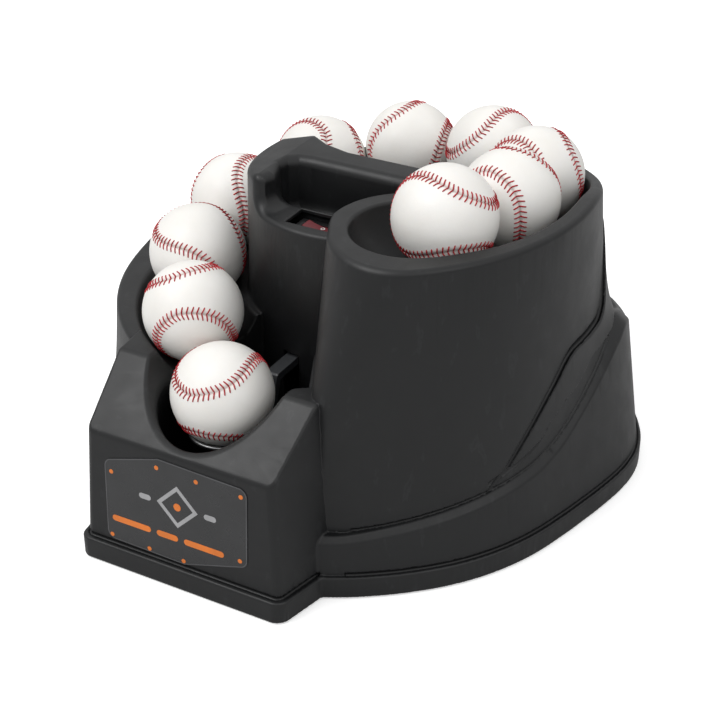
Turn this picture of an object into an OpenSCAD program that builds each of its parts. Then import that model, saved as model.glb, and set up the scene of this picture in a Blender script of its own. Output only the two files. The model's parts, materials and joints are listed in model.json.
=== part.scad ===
// Ball toss machine: a moulded housing whose spiral track rolls baseballs to a sprung arm.
// Origin: on the floor, on the vertical axis of the spiral track.
// +X runs right along the labelled front wall, -Y is the front, +Z is up. Millimetres.

/* [Ball and track] */
// Radius of one baseball
ball_r = 36.9; // [36:0.1:37.2]
// Height of the first ball's centre
first_ball_z = 251; // [245:1:256]
// Angle of the first ball about the spiral axis
first_ball_angle = -33; // [-36:1:-30]
// Fall of the track for each degree of turn
track_fall = 0.341; // [0.30:0.001:0.36]
// Half width of the open track
track_half = 44.5; // [44:0.5:45]
// Room under a ball, where it runs off the middle of the trough
floor_gap = 2.6; // [2.4:0.1:3]

/* [Housing] */
// Wall thickness of the moulding
wall = 3.5; // [2.5:0.1:4]
// Height of the drum's level rim
rim_z = 245; // [240:1:248]
// Outer radius of the drum at its rim
rim_r = 174; // [172:1:176]
// Height of the skirt's proud bottom lip
lip_h = 18; // [16:1:22]
// Depth of the groove line over the lip
lip_step = 3.5; // [3:0.5:4.5]

/* [Tower and handle] */
// Outer radius of the centre tower at its top
tower_r = 84; // [82:0.5:86]
// Height of the switch shelf
shelf_z = 225; // [220:1:228]
// Height of the handle's top
handle_z = 250; // [247:1:252]
// Front to back width of the handle bar
handle_w = 28; // [25:1:30]

/* [Ball pocket] */
// Centre of the pocket across the front
pocket_x = -24; // [-26:1:-22]
// Height of the pocket box's flat top
box_top = 147; // [144:1:150]
// Height of the crease between front wall and slope
box_crease = 106; // [102:1:110]
// Radius of the round notch
notch_r = 58; // [54:1:60]

/* [Throwing arm] */
// Width of the arm bar
arm_w = 10; // [8:0.5:12]
// Thickness of the arm bar
arm_t = 6; // [5:0.5:6]
// Radius of the arm shaft
shaft_r = 4; // [3.5:0.1:4.5]
// Height of the arm shaft
shaft_z = 112; // [110:1:113]
// Running clearance between shaft and bush
run_gap = 0.04; // [0.02:0.01:0.08]

/* [Hidden] */

shell_black = "#26282a";
tray_z = 5;             // underside of the base tray
tray_top = 8;           // floor that the mechanism stands on
lip_z = 1;              // the lip clears the floor, the feet touch it
high = 300;             // above everything
recess_z = 205;         // floor of the finger recesses beside the handle
step = 7.5;             // angle between sections of a swept solid
skirt_from = -71;       // skirt ends inside the box, right side
skirt_to = 240;         // skirt ends inside the box, left side
drum_from = -44.3;      // the drum's round end
end_c = [80, -78];      // centre of the drum's round end
arm_x = -13.5;
shaft_y = -5;
gear_x = 8;             // near face of the gears
gear_w = 7;
gear_m = 1.5;
sector_teeth = 60;      // teeth of the full circle that the arm's sector is cut from
pinion_teeth = 15;      // teeth of the full circle that the pinion is cut from
mesh_angle = -60;       // direction from arm shaft to pinion, from +Y towards +Z
gear_gap = gear_m * (sector_teeth + pinion_teeth) / 2;
pinion_y = shaft_y + gear_gap * cos(mesh_angle);
pinion_z = shaft_z + gear_gap * sin(mesh_angle);
frame_l = -30;          // left plate, outer face
frame_r = 20;           // right plate, outer face
plate = 3;
batt = [70, 47, 100];
batt_at = [72, -72];
socket_x = 62;
socket_z = 44;
socket_y = 196;
label_lean = atan(5 / 86);

// ---- plan and height rules ----
function plan_r(t) = lookup(t, [[-71, 199], [-58, 195], [-49, 193.6], [-30, 193], [-19, 193],
    [-12, 193.4], [-4, 196.5], [4, 203], [11, 211], [15, 215.5], [20, 220], [26, 222.5], [34, 223],
    [60, 221], [110, 215], [170, 208], [240, 205]]);
function skirt_draft(t) = lookup(t, [[-12, 0.105], [5, 0.115], [15, 0.13], [24, 0.145]]);
function skirt_r(z, t) = plan_r(t) - lip_step - skirt_draft(t) * (z - lip_h);
function ledge_z(t) = lookup(t, [[-66, 42.5], [-49, 50], [-30, 58.8], [-18, 65], [-11, 72.5], [-6, 81.5],
    [3, 101.5], [11, 120.5], [19, 131], [25, 123], [31, 112], [45, 106], [90, 100], [180, 75], [236, 60]]);
function ledge_w(t) = lookup(t, [[-60, 4.4], [-20, 5], [-6, 6], [5, 8]]);
function drum_draft(t) = lookup(t, [[-10, 0.032], [15, 0.072]]);
function drum_r(z, t = 0) = rim_r + drum_draft(t) * (rim_z - z)
    + lookup(t, [[25, 0], [40, 4], [60, 7], [150, 6], [240, 4]]);
function rim_top(t) = lookup(t, [[10, rim_z], [42, 220], [118, 182], [190, 150], [240, 146]]);
function path_r(t) = lookup(t, [[-45, 112], [-20, 116.5], [10, 117], [40, 126], [60, 130.5],
    [200, 130.5], [240, 134]]);
function path_z(t) = first_ball_z - track_fall * (t - first_ball_angle);

// Solid swept about the vertical axis: points_at(t) is a list of [radius, height] at angle t.
module swept(points_at, from, to) {
    count = ceil((to - from) / step);
    n = len(points_at(from));
    points = [for (i = [0:count]) let (t = from + (to - from) * i / count)
        for (p = points_at(t)) [p[0] * cos(t), p[0] * sin(t), p[1]]];
    sides = [for (i = [0:count - 1], j = [0:n - 1])
        [i * n + j, i * n + (j + 1) % n, (i + 1) * n + (j + 1) % n, (i + 1) * n + j]];
    polyhedron(points, concat([[for (j = [n - 1:-1:0]) j]], sides,
        [[for (j = [0:n - 1]) count * n + j]]), convexity = 10);
}

// ---- housing ----
module skirt(g) {
    swept(function(t) [[20, lip_z - 5], [plan_r(t) + g, lip_z - 5], [plan_r(t) + g, lip_z],
        [plan_r(t) + g, lip_h], [skirt_r(lip_h + 2, t) + g, lip_h + 2],
        [skirt_r(ledge_z(t), t) + g, ledge_z(t) + g * 0.4],
        [skirt_r(ledge_z(t), t) - ledge_w(t) + g, ledge_z(t) + ledge_w(t) + g * 0.6],
        [20, ledge_z(t) + ledge_w(t) + g]],
        skirt_from, skirt_to);
}
module drum(g) {
    swept(function(t) [[20, lip_z - 5], [drum_r(0, t) + g, lip_z - 5],
        [drum_r(rim_top(t) - 5, t) + g, rim_top(t) - 5], [drum_r(rim_top(t), t) - 4 + g, rim_top(t) + g],
        [path_r(t) - 59 - g, rim_top(t) + g], [path_r(t) - 60 - g, min(rim_top(t), recess_z) + g - 0.5],
        [20, min(rim_top(t), recess_z) + g - 0.5]], drum_from, skirt_to);
}
module drum_end(g) {
    hull() {
        translate([end_c[0], end_c[1], rim_z - 6]) cylinder(r = 59.5 + g, h = 1, $fn = 48);
        translate([end_c[0], end_c[1], rim_z - 1]) cylinder(r = 55.5 + g, h = 1 + g, $fn = 48);
        translate([58, -146, lip_z - 5]) cylinder(r = 14 + g, h = box_top, $fn = 32);
        translate([36, -84, lip_z - 5]) cylinder(r = 25 + g, h = 150, $fn = 32);
        translate([112, -112, lip_z - 5]) cylinder(r = 29 + g, h = 60, $fn = 32);
        translate([96, -96, rim_z - 60]) cylinder(r = 40 + g, h = 10, $fn = 32);
    }
}
module tower(g) {
    translate([0, 0, lip_z - 5]) cylinder(r1 = tower_r + 5 + g, r2 = tower_r + 1 + g, h = recess_z + 4 + g, $fn = 72);
    intersection() {
        translate([0, 0, lip_z]) cylinder(r1 = tower_r + 5 + g, r2 = tower_r + g, h = handle_z, $fn = 72);
        union() {
            translate([-100, -100, 100]) cube([200, 55 + g, shelf_z - 100 + g]);
            translate([0, 0, 100]) linear_extrude(handle_z - 100 + g) offset(delta = g) handle_plan();
        }
    }
}
module handle_plan() {
    polygon([[-90, -58], [-52, -62], [-49, -54], [-47, -30], [-36, -21], [64, -21], [64, -21 + handle_w],
        [-14, -21 + handle_w], [-36, 11], [-52, 20], [-90, 20]]);
}
module pocket_box(g) {
    hull() {
        box_layer(lip_z - 5, [-106, -221.5, 56], [-113, -150, 72], g);
        box_layer(lip_h + 2, [-106, -221.5, 56], [-113, -150, 72], g);
        box_layer(box_crease + g * 0.6, [-102, -216.5, 50], [-111, -149, 66], g);
        box_layer(box_top + g, [-107, -169, 59], [-111, -149, 66], g);
    }
    hull() {
        box_layer(lip_z - 5, [-110, -226.5, 60], [-119, -165, 74], g);
        box_layer(lip_h, [-110, -226.5, 60], [-119, -165, 74], g);
    }
}
module box_layer(z, front, back, g) {
    translate([0, 0, z - 0.5]) linear_extrude(0.5)
        polygon([[front[0] - g, front[1] - g], [front[2] + g, front[1] - g],
            [back[2] + g, back[1]], [30, -95], [-92, -105], [back[0] - g, back[1]]]);
}
module outer_body(g) {
    skirt(g);
    drum(g);
    drum_end(g);
    tower(g);
    pocket_box(g);
}
module track_cut(g) {
    swept(function(t) concat(
        [for (a = [180:15:360]) [path_r(t) + (track_half + g) * cos(a),
            path_z(t) + (ball_r + floor_gap + g) * sin(a)]],
        [[path_r(t) + track_half + g, high], [path_r(t) - track_half - g, high]]),
        drum_from, 250);
    translate([end_c[0], end_c[1], path_z(drum_from) - ball_r - floor_gap - g])
        cylinder(r = 43 + g, h = 100 + g, $fn = 48);
}
module well_cut(g) {
    translate([0, 0, -10]) linear_extrude(high) offset(delta = g)
        polygon([[-66, -168], [18, -168], [34, -154], [40, -150], [10, -87], [-52, -87], [-66, -100]]);
    translate([pocket_x, -165, -10]) cylinder(r = 42 + g, h = high);
    translate([pocket_x, -150, box_crease + 3 + notch_r]) rotate([90, 0, 0])
        cylinder(r = notch_r + g, h = 80, $fn = 72);
}
module screw_bosses() {
    for (t = boss_angles) rotate(t) translate([plan_r(t) - 12, 0, tray_top + 0.1])
        cylinder(r = 7, h = 28, $fn = 24);
    for (x = boss_x) translate([x, boss_y, tray_top + 0.1]) cylinder(r = 7, h = 28, $fn = 24);
}
boss_angles = [-50, 0, 50, 100, 150, 200];
boss_x = [-90, 42];
boss_y = -211.5;
module boss_holes(r) {
    for (t = boss_angles) rotate(t) translate([plan_r(t) - 12, 0, 0]) cylinder(r = r, h = 26, $fn = 24);
    for (x = boss_x) translate([x, boss_y, 0]) cylinder(r = r, h = 26, $fn = 24);
}
module housing() color(shell_black) difference() {
    union() {
        difference() {
            outer_body(0);
            difference() {
                outer_body(-wall);
                track_cut(wall);
                well_cut(wall);
            }
        }
        intersection() {
            union() {
                screw_bosses();
                translate([socket_x - 19.5, socket_y - wall, socket_z - 17.5]) cube([39, 40, 39]);
            }
            outer_body(-1);
        }
    }
    track_cut(0);
    well_cut(0);
    translate([arm_x - 7, -100, 68]) cube([14, 40, 57]);
    translate([-22, -74, 217]) cube([36, 24, 30]);
    translate([-17.2, -70.2, 190]) cube([26.4, 16.4, 40]);
    translate([socket_x - 16, socket_y, socket_z - 14]) cube([32, 60, 32]);
    translate([socket_x, socket_y + 1, socket_z]) rotate([90, 0, 0]) cylinder(r = 6.1, h = 30, $fn = 36);
    boss_holes(2.15);
    translate([-400, -400, -20]) cube([800, 800, 20 + lip_z]);
    translate([0, 0, -1]) linear_extrude(tray_top + 1.05) polygon(tray_points(5.5));
}

// ---- base ----
function tray_points(inset) = concat(
    [for (t = [-66:step:234]) (plan_r(t) - inset) * [cos(t), sin(t)]],
    [[-117 + inset, -174], [-110 + inset, -226.5 + inset], [60 - inset, -226.5 + inset], [72 - inset, -174]]);
module base_tray() color("#1c1d1e") difference() {
    translate([0, 0, tray_z]) linear_extrude(tray_top - tray_z) polygon(tray_points(6));
    boss_holes(2.3);
}
foot_at = [[0, 0], [-84, -180], [40, -180], [150, -60], [110, 120], [-70, 150], [-160, -20]];
module rubber_feet() color("#101010")
    for (p = foot_at) translate(p) rotate_extrude()
        polygon([[0, 0], [11, 0], [12, 1], [12, tray_z], [0, tray_z]]);
module pan_screw(r, head_r, head_h, length) {
    translate([0, 0, -head_h]) cylinder(r = head_r, h = head_h);
    cylinder(r = r, h = length);
}
module tray_screws() color("silver") {
    for (t = boss_angles) rotate(t) translate([plan_r(t) - 12, 0, tray_z]) pan_screw(2, 4, 2.4, 18);
    for (x = boss_x) translate([x, boss_y, tray_z]) pan_screw(2, 4, 2.4, 18);
}

// ---- label ----
module front_label() color("#2b2c2e")
    translate([-30, -221.52, lip_h + 4]) rotate([90 - label_lean, 0, 0]) linear_extrude(0.5)
        polygon(label_points());
function corner(c, r, from, to) = [for (a = [from:15:to]) c + r * [cos(a), sin(a)]];
function label_points() = concat(corner([-50, 7], 7, 180, 270), [[9, -0.5]], corner([54, 21], 7, 285, 360),
    corner([54, 68.5], 7, 0, 75), [[-11, 78]], corner([-50, 60], 7, 110, 180));

// ---- mechanism frame ----
module side_plate(x) translate([x, 0, 0]) rotate([90, 0, 90]) linear_extrude(plate) difference() {
    polygon([[-24, tray_top], [48, tray_top], [48, 100], [24, 136], [-52, 136], [-52, 104], [-24, 84]]);
    translate([shaft_y, shaft_z]) circle(r = 6);
    translate([pinion_y, pinion_z]) circle(r = 5);
}
module mechanism_frame() color("#8d9296") difference() {
    union() {
        side_plate(frame_l);
        side_plate(frame_r - plate);
        translate([-46, -24, tray_top]) cube([82, 72, plate]);
        translate([frame_l + plate, -50, 133]) cube([frame_r - frame_l - 2 * plate, 16, plate]);
    }
    for (x = frame_screw_x, y = frame_screw_y) translate([x, y, 0]) cylinder(r = 2.2, h = 30);
    translate([arm_x, 38, 0]) cylinder(r = 2.6, h = 30);
    translate([arm_x, -42, 120]) cylinder(r = 2.1, h = 30);
    for (y = [-14, 14], z = [-14, 14]) along_x(frame_r - 5, 8) translate([pinion_y + y, pinion_z + z])
        circle(r = 1.7);
}
frame_screw_x = [-40, 30];
frame_screw_y = [-14, 38];
module frame_screws() color("silver")
    for (x = frame_screw_x, y = frame_screw_y) translate([x, y, tray_top + plate]) mirror([0, 0, 1])
        pan_screw(2, 4, 2.4, plate);
module arm_bushes() color("#b08d57") for (side = [0, 1])
    translate([side ? frame_r - plate - 1.5 : frame_l + plate + 1.5, shaft_y, shaft_z])
        rotate([0, side ? 90 : -90, 0]) difference() {
            union() {
                cylinder(r = 5.98, h = plate + 1.5);
                cylinder(r = 8, h = 1.5);
            }
            translate([0, 0, -1]) cylinder(r = shaft_r + run_gap, h = 20);
        }

// ---- throwing arm, turning about the shaft ----
module along_x(x, length) translate([x, 0, 0]) rotate([90, 0, 90]) linear_extrude(length) children();
module bar(a, b) translate(a) rotate(atan2(b[1] - a[1], b[0] - a[0])) {
    translate([0, -arm_t / 2]) square([norm(b - a), arm_t]);
    circle(r = arm_t / 2);
    translate([norm(b - a), 0]) circle(r = arm_t / 2);
}
arm_line = [[42, 112], [-5, 112], [-30, 119], [-110, 119], [-122, 84], [-186, 82]];
module throw_arm() color("#6d7072") difference() {
    union() {
        along_x(arm_x - arm_w / 2, arm_w) for (i = [0:len(arm_line) - 2]) bar(arm_line[i], arm_line[i + 1]);
        along_x(arm_x - arm_w / 2 - 2, arm_w + 4) translate([shaft_y, shaft_z]) circle(r = 11);
    }
    along_x(-60, 120) translate([shaft_y, shaft_z]) circle(r = shaft_r + 0.01);
    translate([arm_x, shaft_y, shaft_z]) cylinder(r = 1.6, h = 30);
    along_x(-60, 120) translate([38, 112]) circle(r = 1.6);
    for (y = cradle_y) translate([arm_x, y, 70]) cylinder(r = 1.85, h = 30);
}
cradle_y = [-181.5, -138.5];
module arm_shaft() color("silver") along_x(-36, 62) translate([shaft_y, shaft_z]) circle(r = shaft_r);
module arm_set_screw() color("#333333") translate([arm_x, shaft_y, shaft_z + shaft_r + 0.05])
    cylinder(r = 1.55, h = 8);
module spring_pin() color("silver") along_x(arm_x - 9, 18) translate([38, 112]) circle(r = 1.55);

// Half of one involute tooth: polar points from the base circle to the tip, pointing along +X.
function involute_angle(rb, r) = sqrt(pow(r / rb, 2) - 1) * 180 / PI - acos(rb / r);
function tooth(teeth, m, thin) = let (
    rp = m * teeth / 2, rb = rp * cos(25), ra = rp + m * 0.95, rr = rp - m * 1.25,
    start = max(rb, rr) + 0.01,
    half = 90 / teeth - thin / rp * 180 / PI + involute_angle(rb, rp),
    radii = [for (i = [0:5]) start + (ra - start) * i / 5])
    concat([(rr - 0.5) * [cos(half), -sin(half)]],
        [for (r = radii) r * [cos(half - involute_angle(rb, r)), -sin(half - involute_angle(rb, r))]],
        [for (i = [5:-1:0]) let (r = radii[i]) r * [cos(half - involute_angle(rb, r)),
            sin(half - involute_angle(rb, r))]],
        [(rr - 0.5) * [cos(half), sin(half)]]);
module gear_teeth(teeth, first, last, turn)
    for (i = [first:last]) rotate(turn + i * 360 / teeth) polygon(tooth(teeth, gear_m, 0.08));
module sector_gear() color("#c9b37a") along_x(gear_x, gear_w) translate([shaft_y, shaft_z]) {
    difference() {
        union() {
            circle(r = 13);
            polygon(concat([[0, 0]], [for (a = [mesh_angle - 30:3:mesh_angle + 12])
                (gear_m * sector_teeth / 2 - gear_m * 1.25) * [cos(a), sin(a)]]));
        }
        circle(r = shaft_r + 0.01);
    }
    gear_teeth(sector_teeth, -4, 1, mesh_angle);
}
module drive_pinion() color("#d8d4c8") along_x(gear_x - 0.5, gear_w + 1) translate([pinion_y, pinion_z]) {
    difference() {
        circle(r = gear_m * pinion_teeth / 2 - gear_m * 1.25);
        circle(r = 3.01);
    }
    gear_teeth(pinion_teeth, -1, 4, mesh_angle + 180 + 180 / pinion_teeth);
}
module pinion_shaft() color("silver") along_x(gear_x - 3, 30) translate([pinion_y, pinion_z]) circle(r = 3);

// ---- gearmotor ----
module gearbox() color("#5b5e62") difference() {
    along_x(frame_r, 24) translate([pinion_y, pinion_z]) square([40, 40], center = true);
    along_x(frame_r - 1, 19) translate([pinion_y, pinion_z]) circle(r = 3.05);
    for (y = [-14, 14], z = [-14, 14]) along_x(frame_r - 1, 12) translate([pinion_y + y, pinion_z + z])
        circle(r = 1.55);
}
module gearbox_screws() color("silver") for (y = [-14, 14], z = [-14, 14])
    translate([frame_r - plate, pinion_y + y, pinion_z + z]) rotate([0, 90, 0]) pan_screw(1.5, 2.8, 1.8, 12);
module motor() color("#9a9da0") {
    along_x(frame_r + 24.05, 40) translate([pinion_y, pinion_z]) circle(r = 16);
    along_x(frame_r + 64.05, 4) translate([pinion_y, pinion_z]) circle(r = 6);
}

// ---- spring, stop and cradle ----
module throw_spring() color("#b9bcc0") {
    turns = 13;
    from = 32;
    to = 98;
    wire = 0.9;
    coil = 6;
    sides = 6;
    per = 18;
    n = turns * per;
    points = [for (i = [0:n], j = [0:sides - 1]) let (a = i * 360 / per, b = j * 360 / sides,
        r = coil + wire * cos(b))
        [arm_x + r * cos(a), 38 + r * sin(a), from + (to - from) * i / n + wire * sin(b)]];
    faces = [for (i = [0:n - 1], j = [0:sides - 1])
        [i * sides + j, (i + 1) * sides + j, (i + 1) * sides + (j + 1) % sides, i * sides + (j + 1) % sides]];
    polyhedron(points, concat([[for (j = [0:sides - 1]) j]], faces,
        [[for (j = [sides - 1:-1:0]) n * sides + j]]), convexity = 10);
}
module spring_anchor() color("silver") translate([arm_x, 38, tray_top + 0.1]) {
    cylinder(r = 2.5, h = 14);
    translate([0, 0, plate + 0.1]) cylinder(r = 5, h = 3, $fn = 6);
    translate([0, 0, 14]) difference() {
        rotate([90, 0, 0]) translate([0, 0, -1.5]) cylinder(r = 5, h = 3);
        rotate([90, 0, 0]) translate([0, 0, -3]) cylinder(r = 2.2, h = 6);
    }
}
module arm_bumper() color("#111111") translate([arm_x, -42, 122.1]) {
    cylinder(r = 7, h = 10.9);
    cylinder(r = 2, h = 18);
    translate([0, 0, 14]) cylinder(r = 4, h = 2);
}
module ball_cradle() color("#a7abae") {
    translate([pocket_x, -160, 97.5]) rotate_extrude() translate([24, 0]) circle(r = 1.75);
    for (y = cradle_y) translate([arm_x, y, 76]) cylinder(r = 1.75, h = 21.5);
}
module cradle_screws() color("silver") for (y = cradle_y) translate([arm_x, y, 70]) cylinder(r = 3, h = 5.5);

// ---- switch ----
module switch_body() color("#141414") difference() {
    union() {
        translate([-20, -72, 217.05]) cube([30, 20, 1.5]);
        translate([-17, -70, 196]) cube([26, 16, 22]);
    }
    translate([-15.5, -67.5, 204]) cube([23, 11, 20]);
}
module switch_rocker() color("#7a1220") translate([-4, -62, 211.5]) rotate([0, 9, 0])
    difference() {
        union() {
            translate([-10, -5, 0]) cube([20, 10, 8]);
            rotate([90, 0, 0]) translate([0, 0, -5]) cylinder(r = 4, h = 10);
        }
        translate([0, -6, 38]) rotate([-90, 0, 0]) cylinder(r = 31, h = 12);
    }

// ---- battery ----
module battery() color("#3a4a5c") translate([batt_at[0], batt_at[1], tray_top]) cube(batt);
module battery_terminals() color("#b88a3a") for (y = [12, 35])
    translate([batt_at[0] + 12, batt_at[1] + y - 2.4, tray_top + batt[2]]) {
        cube([6.3, 4.8, 0.8]);
        cube([0.8, 4.8, 7]);
    }
module battery_strap() color("#777b80") difference() {
    translate([batt_at[0] + 34, batt_at[1] - 14, tray_top]) difference() {
        cube([16, batt[1] + 28, batt[2] + 1.7]);
        translate([-1, 13.8, -1]) cube([18, batt[1] + 0.4, batt[2] + 1.2]);
        translate([-1, -1, 1.5]) cube([18, 13.3, 200]);
        translate([-1, batt[1] + 15.7, 1.5]) cube([18, 20, 200]);
    }
    for (y = [-8, batt[1] + 8]) translate([batt_at[0] + 42, batt_at[1] + y, 0]) cylinder(r = 2.2, h = 30);
}
module strap_screws() color("silver") for (y = [-8, batt[1] + 8])
    translate([batt_at[0] + 42, batt_at[1] + y, tray_top + 1.5]) mirror([0, 0, 1]) pan_screw(2, 3.6, 2, 1.5);

// ---- charging socket ----
module charge_socket() color("#1a1a1a") translate([socket_x, socket_y, socket_z]) rotate([-90, 0, 0])
    difference() {
        union() {
            translate([0, 0, -18]) cylinder(r = 6, h = 18);
            cylinder(r = 8.5, h = 2);
        }
        translate([0, 0, -14]) cylinder(r = 2.9, h = 20);
        translate([0, 0, 1]) cylinder(r = 4, h = 6);
    }
module charge_nut() color("silver") translate([socket_x, socket_y - wall - 4, socket_z]) rotate([-90, 0, 0])
    difference() {
        cylinder(r = 9, h = 3, $fn = 6);
        translate([0, 0, -1]) cylinder(r = 6.05, h = 6);
    }
module charge_cap() color("#111111") translate([socket_x, socket_y + 2.1, socket_z]) rotate([-90, 0, 0]) {
    cylinder(r = 9, h = 2.5);
    translate([0, 0, -0.9]) cylinder(r = 3.8, h = 2);
    translate([-3, -12.5, 0]) cube([6, 6, 2]);
    translate([-4, -13.5, 1]) rotate([0, 90, 0]) cylinder(r = 1.5, h = 8);
}

// ---- wires ----
module wire(points, r = 1.3) for (i = [0:len(points) - 2])
    hull() for (p = [points[i], points[i + 1]]) translate(p) sphere(r = r, $fn = 12);
plus_at = [batt_at[0] + 14, batt_at[1] + 12, tray_top + batt[2] + 8.5];
minus_at = [batt_at[0] + 14, batt_at[1] + 35, tray_top + batt[2] + 8.5];
module wire_battery_switch() color("#a01818")
    wire([plus_at, plus_at + [-7, -5, 13], [48, -64, 146], [2, -62, 170], [2, -62, 194.5]]);
module wire_switch_motor() color("#a01818")
    wire([[-10, -62, 194.5], [-10, -60, 170], [30, -36, 148], [94, 22, 120], [94, 33, 66], [85.5, 33, 64]]);
module wire_battery_motor() color("#101010")
    wire([minus_at, minus_at + [-4, 6, 8], [96, 8, 100], [94, 13, 62], [85.5, 13, 62]]);
module wire_charge() color("#303030")
    wire([[socket_x, socket_y - 19.5, socket_z], [64, 150, 40], [110, 60, 30], [128, 4, 60],
        [130, -16, 124], minus_at + [4, 0, 0]]);

// ---- baseballs ----
ball_angles = [first_ball_angle, 4.2, 38, 69.7, 101.3, 134, 170.9, 205.2, 237];
function ball_path_r(i) = [116.5, 113.5, 131, 136, 132, 127, 124.8, 125, 139][i];
function ball_at(i) = i == 9 ? [pocket_x, -160, 128]
    : [ball_path_r(i) * cos(ball_angles[i]), ball_path_r(i) * sin(ball_angles[i]), path_z(ball_angles[i])];
module baseball(i) color("#f2f0ea") translate(ball_at(i)) sphere(r = ball_r);

housing();
base_tray();
rubber_feet();
tray_screws();
front_label();
mechanism_frame();
frame_screws();
arm_bushes();
arm_shaft();
throw_arm();
arm_set_screw();
sector_gear();
drive_pinion();
pinion_shaft();
gearbox();
gearbox_screws();
motor();
throw_spring();
spring_pin();
spring_anchor();
arm_bumper();
ball_cradle();
cradle_screws();
switch_body();
switch_rocker();
battery();
battery_terminals();
battery_strap();
strap_screws();
charge_socket();
charge_nut();
charge_cap();
wire_battery_switch();
wire_switch_motor();
wire_battery_motor();
wire_charge();
baseball(0);  // baseball_01
baseball(1);  // baseball_02
baseball(2);  // baseball_03
baseball(3);  // baseball_04
baseball(4);  // baseball_05
baseball(5);  // baseball_06
baseball(6);  // baseball_07
baseball(7);  // baseball_08
baseball(8);  // baseball_09
baseball(9);  // baseball_10
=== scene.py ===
"""Looks for the ball toss machine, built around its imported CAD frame.

Shape rules and sizes are in millimetres, in the CAD's frame, and turn to metres when a mesh is made.
"""
import json
import math
from types import SimpleNamespace

import bpy
import numpy as np
from mathutils import Matrix, Vector

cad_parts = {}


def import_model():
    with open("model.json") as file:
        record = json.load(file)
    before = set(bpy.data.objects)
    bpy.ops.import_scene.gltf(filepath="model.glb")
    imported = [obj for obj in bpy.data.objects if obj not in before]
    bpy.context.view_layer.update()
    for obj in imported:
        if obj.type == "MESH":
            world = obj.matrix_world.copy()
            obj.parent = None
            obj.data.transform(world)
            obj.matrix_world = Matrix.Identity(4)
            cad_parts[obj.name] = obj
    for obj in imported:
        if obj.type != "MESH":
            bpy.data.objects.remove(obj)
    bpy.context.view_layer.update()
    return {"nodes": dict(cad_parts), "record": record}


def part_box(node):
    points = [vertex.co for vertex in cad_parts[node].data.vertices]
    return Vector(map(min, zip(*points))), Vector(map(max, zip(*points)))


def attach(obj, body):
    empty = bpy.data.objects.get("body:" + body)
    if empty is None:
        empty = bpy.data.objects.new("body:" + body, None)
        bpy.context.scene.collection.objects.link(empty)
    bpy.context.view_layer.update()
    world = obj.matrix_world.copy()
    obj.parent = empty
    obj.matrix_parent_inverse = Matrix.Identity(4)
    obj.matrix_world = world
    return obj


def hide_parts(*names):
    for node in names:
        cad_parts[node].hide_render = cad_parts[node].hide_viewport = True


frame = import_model()

MM = 0.001


def node_centre(node):
    low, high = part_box(node)
    return np.array((low + high) / 2) / MM


def node_size(node):
    low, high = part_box(node)
    return np.array(high - low) / MM


# ---------------------------------------------------------------- driving sizes of the housing, in mm
LIP_Z = 1.0            # underside of the skirt's lip
LIP_H = 18.0           # top of the lip
LIP_STEP = 3.5         # how far the lip stands out from the wall
RIM_Z = 245.0          # the drum's level rim
RIM_R = 174.0          # the drum's outer radius there
TOWER_R = 84.0
SHELF_Z = 225.0        # top of the shelf in front of the handle, which holds the switch
RECESS_Z = 205.0       # floor of the finger recesses beside the handle
HANDLE_Z = 250.0
# The handle's outline from above: its bar runs along X and widens at the left into a gusset.
HANDLE = [(-90, -62), (-54, -67), (-45, -63), (-42, -53), (-46, -42), (-49, -34), (-47, -27), (-41, -22.5),
          (-32, -21), (64, -21), (64, 8), (-14, 8), (-36, 14), (-52, 24), (-90, 24)]
GUSSET_FROM = -52.0    # left of this the handle's top slopes down to the tower wall
GUSSET_SLOPE = 0.3
WALL = 3.2             # thickness of the moulded shell
TRACK_HALF = 44.5      # half the width of the ball track
TRACK_DEPTH = 39.5     # depth of its round floor below the balls' centres
BALL_R = node_size("baseball_10")[0] / 2
FIRST_BALL = node_centre("baseball_01")
POCKET = node_centre("baseball_10")
FIRST_ANGLE = math.degrees(math.atan2(FIRST_BALL[1], FIRST_BALL[0]))
TRACK_FALL = 0.341     # fall of the track for each degree of turn
DRUM_FROM = -44.3      # angles where the track starts and the left side ends
SKIRT_FROM = -71.0
SKIRT_TO = 240.0
END_C = (80.0, -78.0)  # centre of the drum's round end
END_FACE = (-0.889, -0.457)   # the way the flat side of the drum beside the ball pocket faces
END_FACE_AT = 21.0     # how far that side lies from the tower's axis at the rim
END_DRAFT = 0.095      # how much it leans out above END_BEND_Z
END_DRAFT_LOW = 0.065  # and below it
END_BEND_Z = 147.0
END_EDGE = (13.0, 60.0)       # radius of its upright edge at END_BEND_Z and at the rim
RING = 59.5            # from the middle of the track to the far side of the drum's inner wall
NOTCH_R = 58.0         # radius of the round notch in front of the ball pocket
NOTCH_Z = POCKET[2] - 19.0 + NOTCH_R
# The well that holds the ball on the arm, in front of the tower, from above.
WELL = [(-66, -168), (18, -168), (34, -154), (40, -150), (10, -87), (-52, -87), (-66, -100)]
WELL_ROUND = (POCKET[0], -165.0, 43.0)   # x, y and radius of the well's round front


# Corners of the ball pocket box: at the lip, behind it, where the slope starts, and on the slope's top.
BOX_LEFT = (-106, -221.5, 22)
BOX_LEFT_BACK = (-113, -150, 22)
BOX_LEFT_HIGH = (-102, -216.5, 106)
BOX_RIGHT = (56, -221.5, 22)
BOX_RIGHT_BACK = (72, -150, 22)
BOX_RIGHT_HIGH = (50, -216.5, 106)
BOX_TOP = (-107, -169, 147)
BOX_BACK_Y = -110      # where the box ends inside the drum
BOX_LIP = [(-119, -165), (-110, -225), (60, -225), (74, -165)]
BOX_LIP_Y = -226.5
FAR = 200.0            # stands for well inside in a shape rule
AWAY = 20.0            # and for clear of the surface


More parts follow.
